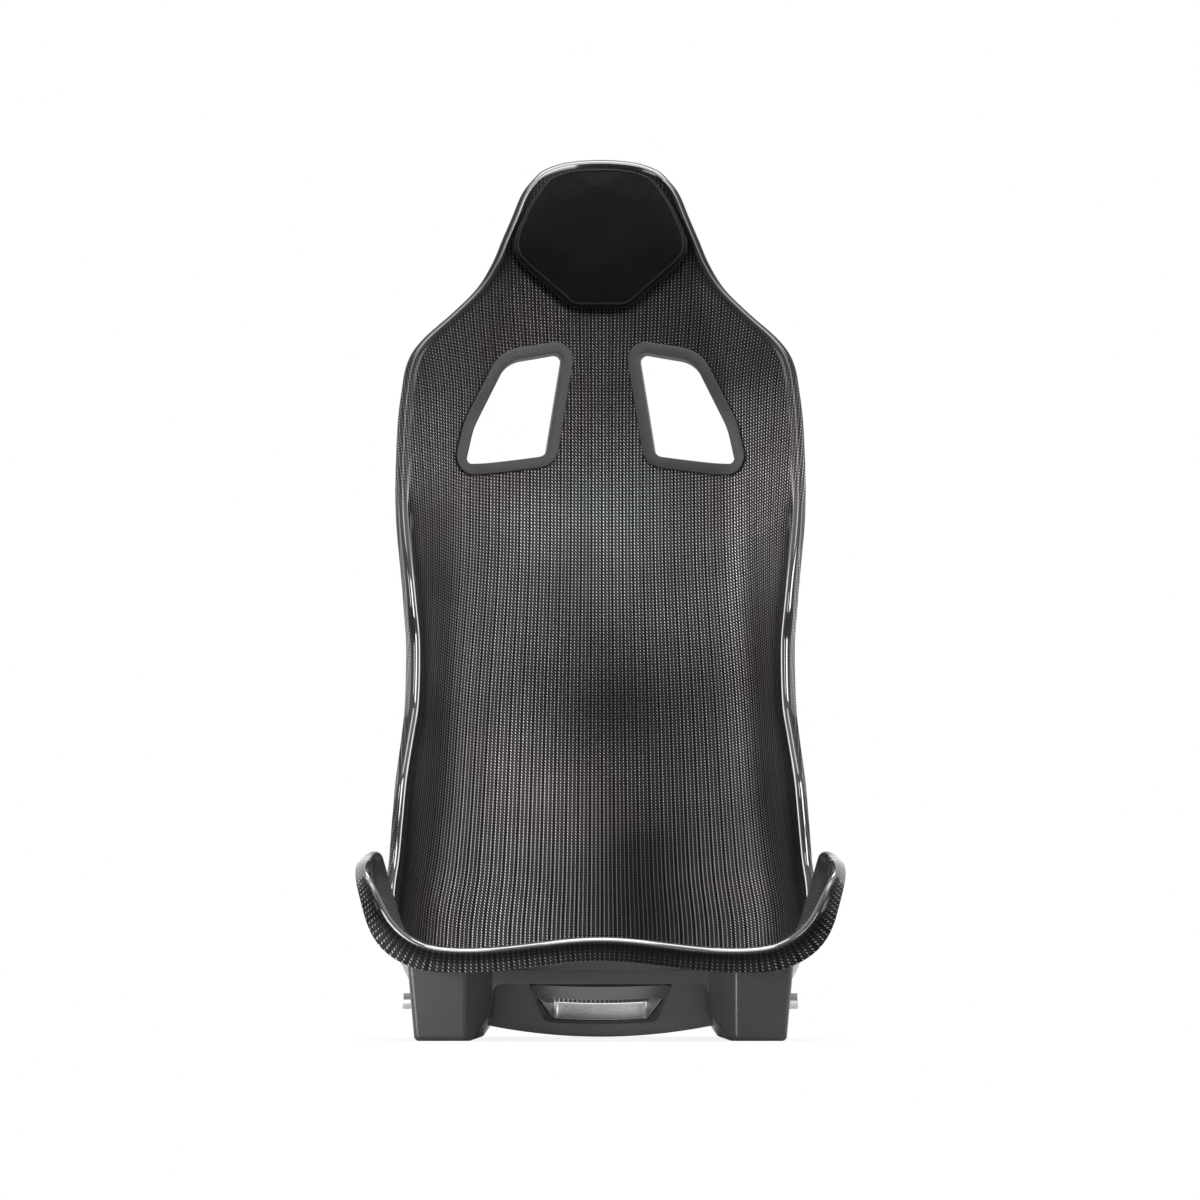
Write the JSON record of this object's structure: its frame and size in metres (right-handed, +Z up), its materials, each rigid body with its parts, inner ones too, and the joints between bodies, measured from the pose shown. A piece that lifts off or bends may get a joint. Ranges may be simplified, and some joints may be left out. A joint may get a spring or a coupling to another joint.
{
  "type": "racing seat",
  "caption": "Carbon bucket racing seat with rolled rim, shoulder and crotch strap slots, a removable head pad and a base with side mounts.",
  "frame": {"origin": "middle of the seat's bounding box in plan, on the surface that the runners stand on", "axes": "+X to the right as seen from the front, -Y is the way the sitter faces, +Z up; the seat is symmetric across X"},
  "size_m": [0.4336, 0.6001, 0.9093],
  "materials": {
    "carbon": "clear-coated carbon twill",
    "core_foam": "closed-cell foam",
    "grey_gelcoat": "dark grey gelcoat",
    "grey_trim": "satin",
    "black_trim": "satin",
    "hook_tape": "hook tape",
    "loop_tape": "loop tape",
    "pad_fabric": "woven black fabric",
    "pad_foam": "open-cell foam",
    "pad_board": "moulded board",
    "insert_aluminium": "machined",
    "stainless": "turned"
  },
  "bodies": {
    "seat": {"bucket_pan": "carbon", "bucket_back": "carbon", "bucket_head": "carbon", "outer_shell": "grey_gelcoat", "back_core": "core_foam", "pan_core": "core_foam", "base_moulding": "grey_gelcoat", "harness_bezel_left": "grey_trim", "harness_bezel_right": "grey_trim", "harness_backing_left": "black_trim", "harness_backing_right": "black_trim", "crotch_bezel": "grey_trim", "crotch_frame": "grey_trim", "hook_patch_lower": "hook_tape", "hook_patch_upper": "hook_tape", "insert_plate_front_left": "insert_aluminium", "mount_bush_front_left": "stainless", "insert_plate_front_right": "insert_aluminium", "mount_bush_front_right": "stainless", "insert_plate_rear_left": "insert_aluminium", "mount_bush_rear_left": "stainless", "insert_plate_rear_right": "insert_aluminium", "mount_bush_rear_right": "stainless"},
    "head_pad": {"head_pad_cover": "pad_fabric", "head_pad_foam": "pad_foam", "head_pad_board": "pad_board", "loop_patch_lower": "loop_tape", "loop_patch_upper": "loop_tape"}
  },
  "joints": [
    {"name": "head_pad_pull", "type": "slide", "parent": "seat", "child": "head_pad", "axis": [0, -0.9848, 0.1736], "range_m": [0, 0.06]}
  ]
}
